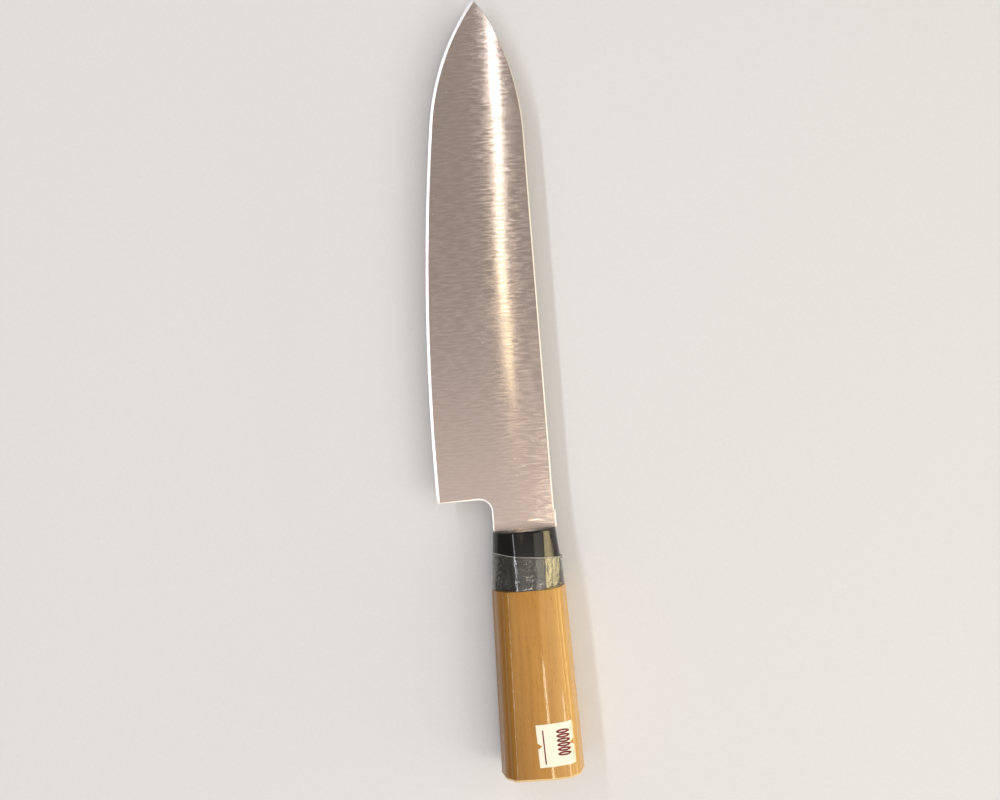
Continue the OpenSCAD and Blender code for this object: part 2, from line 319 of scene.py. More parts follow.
# The ground faces get a mesh of even triangles, finer on the relieved neck.
grid_step = 3.0
neck_step = (0.7, 0.2)
fine_neck_y = 5.6
heel_room = 1.0
inner = []
for i in range(1, int((tip_y - fine_neck_y) / grid_step)):
    y = fine_neck_y + i * grid_step
    left = -spine_x if y < heel_y + heel_room else edge_line(y) + bevel_w
    left = left + heel_fillet if heel_y - heel_fillet < y < heel_y + heel_room else left
    right = spine_line(y)
    across = int((right - left) / grid_step)
    inner += [Vector((left + (right - left) * k / across, y)) for k in range(1, across)]
for i in range(int(fine_neck_y / neck_step[1])):
    reach = neck_w / 2 if i else tang_w / 2
    across = int(2 * reach / neck_step[0])
    inner += [Vector((2 * reach * k / across - reach, i * neck_step[1])) for k in range(2, across - 1)]
rim_loop = [p for i, p in enumerate(grind_rim) if (p - grind_rim[i - 1]).length > 1e-4]
for side in (1, -1):
    blade.cover([rim_loop], lambda p: blade.point(p.x, p.y, side * half_thickness(p.x, p.y)), inner)

stretch = blade.mesh.loops.layers.uv.new("along_the_blade")
for face in blade.mesh.faces:
    for corner in face.loops:
        corner[stretch].uv = (corner.vert.co.y, corner.vert.co.x)


def linear(hex_colour):
    """The linear colour of an sRGB hex value."""
    channels = [int(hex_colour[i:i + 2], 16) / 255 for i in (1, 3, 5)]
    return [c / 12.92 if c <= 0.04045 else ((c + 0.055) / 1.055) ** 2.4 for c in channels] + [1.0]


def add_node(tree, kind, settings=None, inputs=None, output=None):
    """Adds a node; its inputs are values, or sockets to link. Gives an output socket."""
    made = tree.nodes.new("ShaderNode" + kind)
    for name, value in (settings or {}).items():
        setattr(made, name, value)
    sockets = {socket.identifier: socket for socket in made.inputs}
    for name, value in (inputs or {}).items():
        if isinstance(value, bpy.types.NodeSocket):
            tree.links.new(value, sockets[name])
        else:
            sockets[name].default_value = value
    if output:
        return made.outputs[output]
    return next((socket for socket in made.outputs if socket.enabled), None)


def start_material(name):
    """A new material with an empty node tree."""
    material = bpy.data.materials.new(name)
    material.use_nodes = True
    material.node_tree.nodes.clear()
    return material, material.node_tree


# Satin-ground stainless steel: the strokes run from edge to spine, so a lamp is drawn out into a long
# ragged streak along the blade. Dried drops leave a few pale specks. Real strokes are about 0.05 mm
# apart; they are drawn coarser so that they show.
stroke_pitch = 0.85 * MM
stroke_len = 4.5 * MM
smudge_size = 22 * MM
speck_size = 3.0 * MM
speck_patch = 26 * MM
satin_steel, tree = start_material("stainless_steel_satin_ground")
place = add_node(tree, "TexCoord", output="Object")
stroke_place = add_node(tree, "Mapping", None, {
    "Vector": place, "Scale": (1 / stroke_len, 1 / stroke_pitch, 1 / stroke_len)})
strokes = add_node(tree, "TexNoise", None, {
    "Vector": stroke_place, "Scale": 1.0, "Detail": 1.0, "Roughness": 0.5})
smudges = add_node(tree, "TexNoise", None, {
    "Vector": place, "Scale": 1 / smudge_size, "Detail": 3.0, "Roughness": 0.5})
stroke_share = add_node(tree, "MapRange", None, {"Value": strokes, "From Min": 0.4, "From Max": 0.62})
stroke_roughness = add_node(tree, "MapRange", None, {
    "Value": stroke_share, "To Min": 0.085, "To Max": 0.145})
steel_roughness = add_node(tree, "MapRange", None, {
    "Value": smudges, "From Min": 0.6, "From Max": 0.9, "To Min": stroke_roughness, "To Max": 0.18})
stroke_colour = add_node(tree, "Mix", {"data_type": "RGBA"}, {
    "Factor_Float": stroke_share, "A_Color": linear("#cdbdb6"), "B_Color": linear("#d2c3bd")})
speck_distance = add_node(tree, "TexVoronoi", None, {"Vector": place, "Scale": 1 / speck_size})
speck_spots = add_node(tree, "MapRange", None, {
    "Value": speck_distance, "From Min": 0.05, "From Max": 0.13, "To Min": 0.7, "To Max": 0.0})
speck_clouds = add_node(tree, "TexNoise", None, {"Vector": place, "Scale": 1 / speck_patch, "Detail": 1.0})
speck_share = add_node(tree, "MapRange", None, {
    "Value": speck_clouds, "From Min": 0.55, "From Max": 0.68, "To Min": 0.0, "To Max": speck_spots})
steel_colour = add_node(tree, "Mix", {"data_type": "RGBA"}, {
    "Factor_Float": speck_share, "A_Color": stroke_colour, "B_Color": linear("#fbf8f6")})
stroke_relief = add_node(tree, "Bump", None, {
    "Strength": 1.0, "Distance": 0.007 * MM, "Height": strokes})
along_the_blade = add_node(tree, "Tangent", {"direction_type": "UV_MAP", "uv_map": "along_the_blade"})
shader = add_node(tree, "BsdfPrincipled", None, {
    "Base Color": steel_colour, "Metallic": 1.0, "Roughness": steel_roughness,
    "Anisotropic": 1.0, "Tangent": along_the_blade, "Normal": stroke_relief})
add_node(tree, "OutputMaterial", None, {"Surface": shader})

# The same steel honed along the edge and broken along its other corners: narrow bands that are brighter
# and less directional.
hone_pitch = 0.3 * MM
honed_steel, tree = start_material("stainless_steel_honed_edge")
place = add_node(tree, "TexCoord", output="Object")
hone_marks = add_node(tree, "TexNoise", None, {
    "Vector": place, "Scale": 1 / hone_pitch, "Detail": 2.0})
hone_roughness = add_node(tree, "MapRange", None, {
    "Value": hone_marks, "From Min": 0.3, "From Max": 0.7, "To Min": 0.28, "To Max": 0.4})
hone_colour = add_node(tree, "Mix", {"data_type": "RGBA"}, {
    "Factor_Float": hone_marks, "A_Color": linear("#dedcda"), "B_Color": linear("#f4f2f0")})
shader = add_node(tree, "BsdfPrincipled", None, {
    "Base Color": hone_colour, "Metallic": 1.0, "Roughness": hone_roughness})
add_node(tree, "OutputMaterial", None, {"Surface": shader})

ground_blade = blade.piece("ground_blade", [satin_steel, honed_steel], crease=35)
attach(ground_blade, "root")
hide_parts("blade")

# Ferrule
# A black cap moulded in plastic and polished. It has a softened eight-sided section that widens
# towards the wood, a slot for the tang in its front wall and a bore for the wooden spigot.

ferrule_len = (ferrule_high.y - ferrule_low.y) / MM
ferrule_front = (26.5, 20.4)
ferrule_back = ((ferrule_high.x - ferrule_low.x) / MM, (ferrule_high.z - ferrule_low.z) / MM)
ferrule_slant = (7.4, 6.6)
ferrule_slant_ratio = 1.32
ferrule_corner = 7.0
ferrule_crown = 0.05
ferrule_rim = 0.8
ferrule_wall = 3.0
fit_gap = 0.2
spigot = (21.0, 14.0)
rim_steps = 5
corner_room = 0.44
ridge_round = 0.4


def softened_octagon(size, slant, radius, crown, inset=0.0, corner_steps=7, flat_steps=6, ridge=None):
    """An eight-sided section with round corners and flats that swell by a crown, inside a size. The top
    may rise to a ridge instead, at a share of its width from the spine side."""
    half_w, half_t = size[0] / 2 - crown - inset, size[1] / 2 - crown - inset
    tuck = inset * (math.sqrt(2) - 1)
    slant_w, slant_h = slant[0] - tuck, slant[1] - tuck
    quarter = [Vector((half_w, half_t - slant_h)), Vector((half_w - slant_w, half_t))]
    corners = quarter + [Vector((-p.x, p.y)) for p in reversed(quarter)]
    corners += [-p for p in corners]
    count = len(corners)
    arcs = []
    for i, corner in enumerate(corners):
        arriving = (corner - corners[i - 1]).normalized()
        leaving = (corners[(i + 1) % count] - corner).normalized()
        turn = arriving.angle(leaving)
        room = min((corner - corners[i - 1]).length, (corners[(i + 1) % count] - corner).length)
        fit = min(radius, corner_room * room / math.tan(turn / 2))
        start = corner - arriving * fit * math.tan(turn / 2)
        center = start + Vector((-arriving.y, arriving.x)) * fit
        first = math.atan2(start.y - center.y, start.x - center.x)
        arcs.append(arc(center, fit, first, first + turn, corner_steps))
    section = []
    for i, corner_arc in enumerate(arcs):
        start, end = corner_arc[-1], arcs[(i + 1) % count][0]
        out = Vector((end.y - start.y, start.x - end.x)).normalized()
        section += corner_arc
        for k in range(1, flat_steps):
            share = k / flat_steps
            swell = 4 * share * (1 - share)
            if ridge and i == 1:
                climb = min(share / ridge, (1 - share) / (1 - ridge))
                swell = climb * (1 + ridge_round - ridge_round * climb)
            section.append(start.lerp(end, share) + out * crown * swell)
    return section


def stadium(size, steps=12):
    """A flat-sided section with half-round narrow sides."""
    reach = Vector(((size[0] - size[1]) / 2, 0))
    half = arc(reach, size[1] / 2, -math.pi / 2, math.pi / 2, steps)
    return half + [-p for p in half]


def rectangle(size):
    """The corners of a plain slot."""
    w, t = size[0] / 2, size[1] / 2
    return [Vector(p) for p in ((w, -t), (w, t), (-w, t), (-w, -t))]


def ring(shell, section, y):
    """A section's vertices at a place along the knife."""
    return [shell.point(p.x, y, p.y) for p in section]


def end_face(shell, sections, y, finish=0):
    """A flat face across the knife, between an outer section and the openings in it."""
    shell.cover(sections, lambda p: shell.point(p.x, y, p.y), finish=finish)


def ferrule_section(y, inset=0.0):
    """The ferrule's outside at a place along the knife."""
    share = -y / ferrule_len
    size = [a + (b - a) * share for a, b in zip(ferrule_front, ferrule_back)]
    slant = [d * (1 + (ferrule_slant_ratio - 1) * share) for d in ferrule_slant]
    return softened_octagon(size, slant, ferrule_corner, ferrule_crown, inset)


ferrule = Shell()
nose = []
for i in range(rim_steps + 1):
    turn = math.pi / 2 * i / rim_steps
    y = -ferrule_rim * (1 - math.cos(turn))
    nose.append((y, ferrule_section(y, ferrule_rim * (1 - math.sin(turn)))))
body = [(y, ferrule_section(y)) for y in (-ferrule_len / 2, -ferrule_len)]
slot = rectangle((tang_w + 2 * fit_gap, 2 * (tang_half_t + fit_gap)))
bore = stadium([d + 2 * fit_gap for d in spigot])
ferrule.tube([ring(ferrule, section, y) for y, section in nose + body])
end_face(ferrule, [nose[0][1], slot], 0)
ferrule.tube([ring(ferrule, slot, 0), ring(ferrule, slot, -ferrule_wall)])
end_face(ferrule, [bore, slot], -ferrule_wall)
ferrule.tube([ring(ferrule, bore, -ferrule_wall), ring(ferrule, bore, -ferrule_len)])
end_face(ferrule, [body[-1][1], bore], -ferrule_len)

# Polished black ABS: nearly black, with sharp reflections that fine handling marks soften in places.
handling_mark = 3 * MM
moulding_wave = 9 * MM
black_abs, tree = start_material("black_abs_moulded_polished")
place = add_node(tree, "TexCoord", output="Object")
marks = add_node(tree, "TexNoise", None, {
    "Vector": place, "Scale": 1 / handling_mark, "Detail": 6.0, "Roughness": 0.7})
waves = add_node(tree, "TexNoise", None, {
    "Vector": place, "Scale": 1 / moulding_wave, "Detail": 1.0})
abs_roughness = add_node(tree, "MapRange", None, {
    "Value": marks, "From Min": 0.35, "From Max": 0.75, "To Min": 0.06, "To Max": 0.2})
abs_colour = add_node(tree, "Mix", {"data_type": "RGBA"}, {
    "Factor_Float": marks, "A_Color": linear("#060505"), "B_Color": linear("#0f0d0c")})
abs_relief = add_node(tree, "Bump", None, {"Strength": 0.15, "Distance": 0.05 * MM, "Height": waves})
shader = add_node(tree, "BsdfPrincipled", None, {
    "Base Color": abs_colour, "Roughness": abs_roughness, "IOR": 1.54, "Normal": abs_relief})
add_node(tree, "OutputMaterial", None, {"Surface": shader})

moulded_ferrule = ferrule.piece("moulded_ferrule", [black_abs], crease=35)
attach(moulded_ferrule, "root")
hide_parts("ferrule")

# Handle
# A grip of straight-grained wood, planed to eight softened sides and widened towards the butt, with a
# spigot that is glued into the ferrule and a slot for the tang. It is sanded and lacquered.

handle_low, handle_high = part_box("handle")
butt_y = (handle_low.y - knife_origin.y) / MM
spigot_y = (handle_high.y - knife_origin.y) / MM
grip_front = (31.0, 23.6)
grip_butt = ((handle_high.x - handle_low.x) / MM, (handle_high.z - handle_low.z) / MM)
grip_facet = (4.6, 8.2)
grip_corner = 4.2
grip_crown = 0.7
grip_ridge = 0.3
grip_front_ease = 0.3
grip_flat_steps = 20
grip_rows = 6
butt_rim = 0.8
# How far the rim's pale painted highlight reaches in front of the rim.
rim_highlight_spill = 0.25
butt_dome = 0.4
adhesive_t = 1.0


def grip_section(y, inset=0.0):
    """The outside of the grip at a place along the knife."""
    share = (-ferrule_len - y) / (-ferrule_len - butt_y - butt_rim)
    size = [a + (b - a) * min(share, 1.0) for a, b in zip(grip_front, grip_butt)]
    return softened_octagon(
        size, grip_facet, grip_corner, grip_crown, inset, flat_steps=grip_flat_steps, ridge=grip_ridge)


grip = Shell()
rows = []
for i in range(rim_steps + 1):
    turn = math.pi / 2 * i / rim_steps
    y = -ferrule_len - grip_front_ease * (1 - math.cos(turn))
    rows.append((y, grip_section(y, grip_front_ease * (1 - math.sin(turn)))))
straight_end = butt_y + butt_dome + butt_rim
for k in range(1, grip_rows + 1):
    y = -ferrule_len + (straight_end + rim_highlight_spill + ferrule_len) * k / grip_rows
    rows.append((y, grip_section(y)))
rows.append((straight_end, grip_section(straight_end)))
for i in range(1, rim_steps + 1):
    turn = math.pi / 2 * i / rim_steps
    y = straight_end - butt_rim * math.sin(turn)
    rows.append((y, grip_section(straight_end, butt_rim * (1 - math.cos(turn)))))
grip_rings = [ring(grip, section, y) for y, section in rows]
# The butt's rim, and a narrow band in front of it, take the pale painted highlight.
grip.tube(grip_rings[:-rim_steps - 1])
grip.tube(grip_rings[-rim_steps - 2:], finish=1)

butt_ring_count = 5
butt_ring_skip = 9
butt_section = rows[-1][1]
butt_rings = [
    [p * k / butt_ring_count for p in butt_section[::butt_ring_skip]] for k in range(1, butt_ring_count)]
butt_points = [Vector((0, 0))] + [p for inner_ring in butt_rings for p in inner_ring]


def on_butt(p):
    """A vertex of the slightly domed butt."""
    share = (2 * p.x / grip_butt[0]) ** 2 + (2 * p.y / grip_butt[1]) ** 2
    fullest = (2 * (grip_butt[0] / 2 - butt_rim) / grip_butt[0]) ** 2
    at_rim = any((p - q).length < 1e-3 for q in butt_section)
    swell = 0.0 if at_rim else butt_dome * max(1 - share / fullest, 0.0)
    return grip.point(p.x, butt_y + butt_dome - swell, p.y)


grip.cover([butt_section], on_butt, butt_points, finish=2)
tang_slot = rectangle((tang_w + 2 * adhesive_t, 2 * (tang_half_t + adhesive_t)))
slot_end_y = tang_end_y - adhesive_t
end_face(grip, [rows[0][1], stadium(spigot)], -ferrule_len)
grip.tube([ring(grip, stadium(spigot), -ferrule_len), ring(grip, stadium(spigot), spigot_y)])
end_face(grip, [stadium(spigot), tang_slot], spigot_y)
grip.tube([ring(grip, tang_slot, spigot_y), ring(grip, tang_slot, slot_end_y)])
end_face(grip, [tang_slot], slot_end_y)

# Lacquered magnolia wood: an even tan with painted shade that darkens the edge side and painted light that
# pales the spine side, for the light that falls from the spine side; with straight fine grain, faint growth
# bands, short dark pores and a thin clear lacquer that gives long highlights.
growth_band = 2.6 * MM
band_lean = math.radians(24)
band_len = 20 * growth_band
band_depth = 4 * growth_band
fibre_w = 0.55 * MM
fibre_len = 45 * MM
pore_w = 0.3 * MM
pore_len = 3 * MM
# Where the painted shade on the edge side and the painted light on the spine side begin and how far they
# reach.
painted_side_from = 2 * MM
painted_side_reach = 17 * MM
lacquered_wood, tree = start_material("magnolia_wood_lacquered")
place = add_node(tree, "TexCoord", output="Object")
band_place = add_node(tree, "Mapping", None, {
    "Vector": place, "Rotation": (0.0, band_lean, 0.0),
    "Scale": (1 / growth_band, 1 / band_len, 1 / band_depth)})
bands = add_node(tree, "TexNoise", None, {"Vector": band_place, "Scale": 1.0, "Detail": 2.0})
fibre_place = add_node(tree, "Mapping", None, {
    "Vector": place, "Scale": (1 / fibre_w, 1 / fibre_len, 1 / fibre_w)})
fibres = add_node(tree, "TexNoise", None, {
    "Vector": fibre_place, "Scale": 1.0, "Detail": 4.0, "Roughness": 0.6})
pore_place = add_node(tree, "Mapping", None, {
    "Vector": place, "Scale": (1 / pore_w, 1 / pore_len, 1 / pore_w)})
pore_noise = add_node(tree, "TexNoise", None, {"Vector": pore_place, "Scale": 1.0, "Detail": 1.0})
pores = add_node(tree, "MapRange", None, {
    "Value": pore_noise, "From Min": 0.62, "From Max": 0.78, "To Min": 0.0, "To Max": 0.5})
band_share = add_node(tree, "MapRange", None, {"Value": bands, "From Min": 0.3, "From Max": 0.7})
fibre_share = add_node(tree, "MapRange", None, {
    "Value": fibres, "From Min": 0.3, "From Max": 0.75, "To Min": 0.0, "To Max": 0.7})
band_colour = add_node(tree, "Mix", {"data_type": "RGBA"}, {
    "Factor_Float": band_share, "A_Color": linear("#ac7a32"), "B_Color": linear("#c59242")})
fibre_colour = add_node(tree, "Mix", {"data_type": "RGBA"}, {
    "Factor_Float": fibre_share, "A_Color": band_colour, "B_Color": linear("#b5802e")})
# Painted shade: the edge side of the grip is darkened, as if the light fell from the spine side.
side_light_way = add_node(tree, "SeparateXYZ", None, {"Vector": place}, "X")
painted_shade_share = add_node(tree, "MapRange", {"interpolation_type": "SMOOTHSTEP"}, {
    "Value": side_light_way, "From Min": knife_axis_x - painted_side_reach, "From Max": knife_axis_x + painted_side_from,
    "To Min": 0.65, "To Max": 0.0})
painted_shade_colour = add_node(tree, "Mix", {"data_type": "RGBA"}, {
    "Factor_Float": painted_shade_share, "A_Color": fibre_colour, "B_Color": linear("#704812")})
# Painted light: the spine side of the grip is paled, as if the light fell from that side.
painted_light_share = add_node(tree, "MapRange", {"interpolation_type": "SMOOTHSTEP"}, {
    "Value": side_light_way, "From Min": knife_axis_x + painted_side_from, "From Max": knife_axis_x + painted_side_reach,
    "To Min": 0.0, "To Max": 0.4})
painted_light_colour = add_node(tree, "Mix", {"data_type": "RGBA"}, {
    "Factor_Float": painted_light_share, "A_Color": painted_shade_colour, "B_Color": linear("#e0bc74")})
wood_colour = add_node(tree, "Mix", {"data_type": "RGBA"}, {
    "Factor_Float": pores, "A_Color": painted_light_colour, "B_Color": linear("#6e4d1e")})
wood_roughness = add_node(tree, "MapRange", None, {
    "Value": fibres, "From Min": 0.3, "From Max": 0.7, "To Min": 0.38, "To Max": 0.52})
grain_relief = add_node(tree, "Bump", None, {"Strength": 0.2, "Distance": 0.05 * MM, "Height": fibres})
lacquer_relief = add_node(tree, "Bump", None, {
    "Strength": 0.35, "Distance": 0.03 * MM, "Height": pore_noise})
shader = add_node(tree, "BsdfPrincipled", None, {
    "Base Color": wood_colour, "Roughness": wood_roughness, "Specular IOR Level": 0.1,
    "Normal": grain_relief, "Coat Weight": 0.8, "Coat Roughness": 0.05, "Coat IOR": 1.5,
    "Coat Normal": lacquer_relief})
add_node(tree, "OutputMaterial", None, {"Surface": shader})

# The same wood at the butt's rounded rim, under a thinner lacquer: a pale line painted on as the rim's
# highlight.
rim_fibre = 0.6 * MM
rim_highlight_wood, tree = start_material("magnolia_wood_rim_painted_highlight")
place = add_node(tree, "TexCoord", output="Object")
rim_fibres = add_node(tree, "TexNoise", None, {"Vector": place, "Scale": 1 / rim_fibre, "Detail": 3.0})
rim_highlight_colour = add_node(tree, "Mix", {"data_type": "RGBA"}, {
    "Factor_Float": rim_fibres, "A_Color": linear("#d0b078"), "B_Color": linear("#e8d0a0")})
shader = add_node(tree, "BsdfPrincipled", None, {
    "Base Color": rim_highlight_colour, "Roughness": 0.55, "IOR": 1.5, "Coat Weight": 0.3, "Coat Roughness": 0.2,
    "Coat IOR": 1.5})
add_node(tree, "OutputMaterial", None, {"Surface": shader})

# The same wood cut across its grain and sanded at the butt: a little darker, cloudy and dotted with pores.
end_pore = 0.5 * MM
end_ring = 3 * MM
sanded_end_grain, tree = start_material("magnolia_wood_sanded_end_grain")
place = add_node(tree, "TexCoord", output="Object")
end_rings = add_node(tree, "TexNoise", None, {"Vector": place, "Scale": 1 / end_ring, "Detail": 2.0})
end_pores = add_node(tree, "TexVoronoi", None, {"Vector": place, "Scale": 1 / end_pore})
end_pore_share = add_node(tree, "MapRange", None, {
    "Value": end_pores, "From Min": 0.1, "From Max": 0.3, "To Min": 0.45, "To Max": 0.0})
end_ring_colour = add_node(tree, "Mix", {"data_type": "RGBA"}, {
    "Factor_Float": end_rings, "A_Color": linear("#a67a3c"), "B_Color": linear("#c2975a")})
end_colour = add_node(tree, "Mix", {"data_type": "RGBA"}, {
    "Factor_Float": end_pore_share, "A_Color": end_ring_colour, "B_Color": linear("#7c5a2c")})
end_relief = add_node(tree, "Bump", None, {"Strength": 0.2, "Distance": 0.05 * MM, "Height": end_pores})
shader = add_node(tree, "BsdfPrincipled", None, {
    "Base Color": end_colour, "Roughness": 0.5, "IOR": 1.5, "Normal": end_relief, "Coat Weight": 0.4,
    "Coat Roughness": 0.2, "Coat IOR": 1.5})
add_node(tree, "OutputMaterial", None, {"Surface": shader})

wooden_grip = grip.piece("wooden_grip", [lacquered_wood, rim_highlight_wood, sanded_end_grain], crease=35)
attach(wooden_grip, "root")
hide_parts("handle")

# Tang adhesive
# Epoxy poured into the slot of the handle round the tang and left to cure. It is hidden inside.

epoxy_cloud = 2 * MM
cured_epoxy, tree = start_material("epoxy_cured_cloudy")
place = add_node(tree, "TexCoord", output="Object")
clouds = add_node(tree, "TexNoise", None, {"Vector": place, "Scale": 1 / epoxy_cloud, "Detail": 3.0})
epoxy_colour = add_node(tree, "Mix", {"data_type": "RGBA"}, {
    "Factor_Float": clouds, "A_Color": linear("#cbb985"), "B_Color": linear("#e0d3a6")})
shader = add_node(tree, "BsdfPrincipled", None, {"Base Color": epoxy_colour, "Roughness": 0.4})
add_node(tree, "OutputMaterial", None, {"Surface": shader})
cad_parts["tang_adhesive"].material_slots[0].material = cured_epoxy

# Packing film
# A strip of clear film that is left from the wrapping, wound once round the back of the ferrule. It is
# thin, slightly hazy and wrinkled, cut a little askew, and its front corner stands off at the spine side.

film_front_y = -10.2
film_askew = -0.12
film_t = 0.06
film_gap = 0.05
film_edge_w = 0.3
film_end_gap = 0.02
film_rows = 18
wrinkle_h = 0.2
flare_h = 0.9
flare_turn = math.radians(8)
flare_spread = math.radians(17)


def film_lift(turn, share):
    """How far the film stands off the ferrule, round it and from its front to its back. The factors of
    turn are waves round the ferrule, and those of share lay them askew."""
    folds = math.sin(9 * turn + 5 * share) * math.sin(4 * turn - 7 * share + 1.0)
    creases = math.sin(23 * turn + 2.6 * math.sin(6 * share)) * smooth(share * 3)
    loose = wrinkle_h * (0.5 + 0.32 * folds + 0.18 * creases)
    flare = flare_h * math.exp(-((turn - flare_turn) / flare_spread) ** 2) * (1 - share) ** 2.5
    return film_gap + loose * smooth((1 - share) * 6) + flare


film = Shell()
film_shares = [0.0, film_edge_w / (ferrule_len + film_front_y)]
film_shares += [r / film_rows for r in range(1, film_rows + 1)]
film_rings = []
for under in (0.0, film_t):
    for share in film_shares:
        row = []
        for i, p in enumerate(ferrule_section(-ferrule_len)):
            y = film_front_y + film_askew * p.x
            y += (-ferrule_len + film_end_gap - y) * share
            on = ferrule_section(y)[i]
            turn = math.atan2(on.y, on.x)
            away = on + on.normalized() * (film_lift(turn, share) + film_t - under)
            row.append(film.point(away.x, y, away.y))
        film_rings.append(row)
outside, inside = film_rings[:len(film_shares)], film_rings[len(film_shares):]
film.tube(outside[1:] + inside[:0:-1])
film.tube([inside[1], inside[0], outside[0], outside[1]], finish=1)

# Clear polyester film: see-through and very glossy, crinkled so that it glints, with a slight milky haze.
haze_size = 2.2 * MM
crinkle_size = 1.4 * MM
clear_film, tree = start_material("polyester_film_clear")
place = add_node(tree, "TexCoord", output="Object")
haze = add_node(tree, "TexNoise", None, {
    "Vector": place, "Scale": 1 / haze_size, "Detail": 5.0, "Roughness": 0.65})
clearness = add_node(tree, "MapRange", None, {
    "Value": haze, "From Min": 0.45, "From Max": 0.7, "To Min": 0.998, "To Max": 0.97})
film_roughness = add_node(tree, "MapRange", None, {
    "Value": haze, "From Min": 0.35, "From Max": 0.7, "To Min": 0.03, "To Max": 0.08})
crinkles = add_node(tree, "TexNoise", None, {
    "Vector": place, "Scale": 1 / crinkle_size, "Detail": 1.5, "Distortion": 0.6})
film_relief = add_node(tree, "Bump", None, {"Strength": 0.6, "Distance": 0.22 * MM, "Height": crinkles})
shader = add_node(tree, "BsdfPrincipled", None, {
    "Base Color": linear("#f2f1ec"), "Roughness": film_roughness, "IOR": 1.6,
    "Transmission Weight": clearness, "Normal": film_relief})
add_node(tree, "OutputMaterial", None, {"Surface": shader})

# The cut edge of the same film: a thin milky line that catches the light.
edge_nick = 2 * MM
cut_film, tree = start_material("polyester_film_cut_edge")
place = add_node(tree, "TexCoord", output="Object")
nicks = add_node(tree, "TexNoise", None, {"Vector": place, "Scale": 1 / edge_nick, "Detail": 2.0})
milkiness = add_node(tree, "MapRange", None, {
    "Value": nicks, "From Min": 0.3, "From Max": 0.7, "To Min": 0.6, "To Max": 0.97})
shader = add_node(tree, "BsdfPrincipled", None, {
    "Base Color": linear("#f2f0e8"), "Roughness": 0.3, "IOR": 1.6, "Transmission Weight": milkiness})
add_node(tree, "OutputMaterial", None, {"Surface": shader})

packing_film = film.piece("packing_film", [clear_film, cut_film], crease=50)
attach(packing_film, "root")
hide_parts("ferrule_film")

# Price label
# A small piece of coated paper from a label gun, stuck on a little askew. It bends over the corner of the
# grip, and has die-cut notches in its sides.

label_size = (14.9, 17.4)
label_offset = -1.3
label_from_butt = 6.0
label_tilt = math.radians(2)
label_notch = (1.8, 2.6)
label_gap = 0.03
label_t = 0.12
label_spacing = 0.7
label_step = 0.62
notch_room = (0.4, 0.3)


def grip_top(x, y):
    """How high the grip's surface lies over the knife's axis, at a place seen from above."""
    upper = sorted((p.x, p.y) for p in grip_section(y) if p.y > 0)
    for (left, left_z), (right, right_z) in zip(upper, upper[1:]):
        if left <= x <= right and right > left:
            return left_z + (right_z - left_z) * (x - left) / (right - left)
    return upper[-1][1]


def on_label(shell, s, t, lift):
    """A vertex over a place on the label, which is measured from its corner near the butt."""
    x = label_offset + s * math.cos(label_tilt) - t * math.sin(label_tilt)
    y = butt_y + label_from_butt + s * math.sin(label_tilt) + t * math.cos(label_tilt)
    return shell.point(x, y, grip_top(x, y) + label_gap + lift)


label_w, label_len = label_size
notch_d, notch_w = label_notch
middle = label_len / 2
label_outline = run((0, 0), (label_w, 0), label_spacing)
label_outline += run((label_w, label_spacing), (label_w, middle - notch_w / 2), label_spacing)
label_outline += [Vector((label_w - notch_d, middle))]
label_outline += run((label_w, middle + notch_w / 2), (label_w, label_len), label_spacing)
label_outline += run((label_w - label_spacing, label_len), (0, label_len), label_spacing)
label_outline += run((0, label_len - label_spacing), (0, middle + notch_w / 2), label_spacing)
label_outline += [Vector((notch_d, middle))]
label_outline += run((0, middle - notch_w / 2), (0, label_spacing), label_spacing)
label_inner = [
    Vector((s * label_step, t * label_step))
    for s in range(1, int(label_w / label_step)) for t in range(1, int(label_len / label_step))]
label_inner = [p for p in label_inner if abs(p.y - middle) > notch_w / 2 + notch_room[1]
               or notch_d + notch_room[0] < p.x < label_w - notch_d - notch_room[0]]

label = Shell()
for lift in (0.0, label_t):
    label.cover([label_outline], lambda p: on_label(label, p.x, p.y, lift), label_inner)
label.band(*[[on_label(label, p.x, p.y, lift) for p in label_outline] for lift in (0.0, label_t)])

# Coated label paper: off-white and smooth, with the faint cloudiness of its fibres.
fibre_cloud = 0.8 * MM
label_paper, tree = start_material("label_paper_coated")
place = add_node(tree, "TexCoord", output="Object")
fibre_clouds = add_node(tree, "TexNoise", None, {
    "Vector": place, "Scale": 1 / fibre_cloud, "Detail": 5.0, "Roughness": 0.6})
paper_colour = add_node(tree, "Mix", {"data_type": "RGBA"}, {
    "Factor_Float": fibre_clouds, "A_Color": linear("#f3eeda"), "B_Color": linear("#fbf7e6")})
paper_relief = add_node(tree, "Bump", None, {
    "Strength": 0.15, "Distance": 0.02 * MM, "Height": fibre_clouds})
shader = add_node(tree, "BsdfPrincipled", None, {
    "Base Color": paper_colour, "Roughness": 0.55, "Normal": paper_relief})
add_node(tree, "OutputMaterial", None, {"Surface": shader})

paper_label = label.piece("paper_label", [label_paper], crease=50)
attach(paper_label, "root")
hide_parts("price_label")

# Print on the label
# A thin red rule and a column of plain noughts, stamped by the label gun with a worn ink roller.

ink_lift = 0.03
rule_w = 0.55
rule_s = 2.6
rule_t = (1.2, 15.1)
digit_count = 6
digit_pitch = 1.82
digit_from = (7.9, 3.9)
digit_size = (5.6, 1.76)
stroke_w = (1.25, 0.7)
border_w = 0.22
border_s = 14.2
border_runs = ((1.0, 6.4), (11.2, 16.2))
print_spacing = 0.5
nought_steps = 28
nought_insets = (1, 0.67, 0.33, 0)

print_shell = Shell()


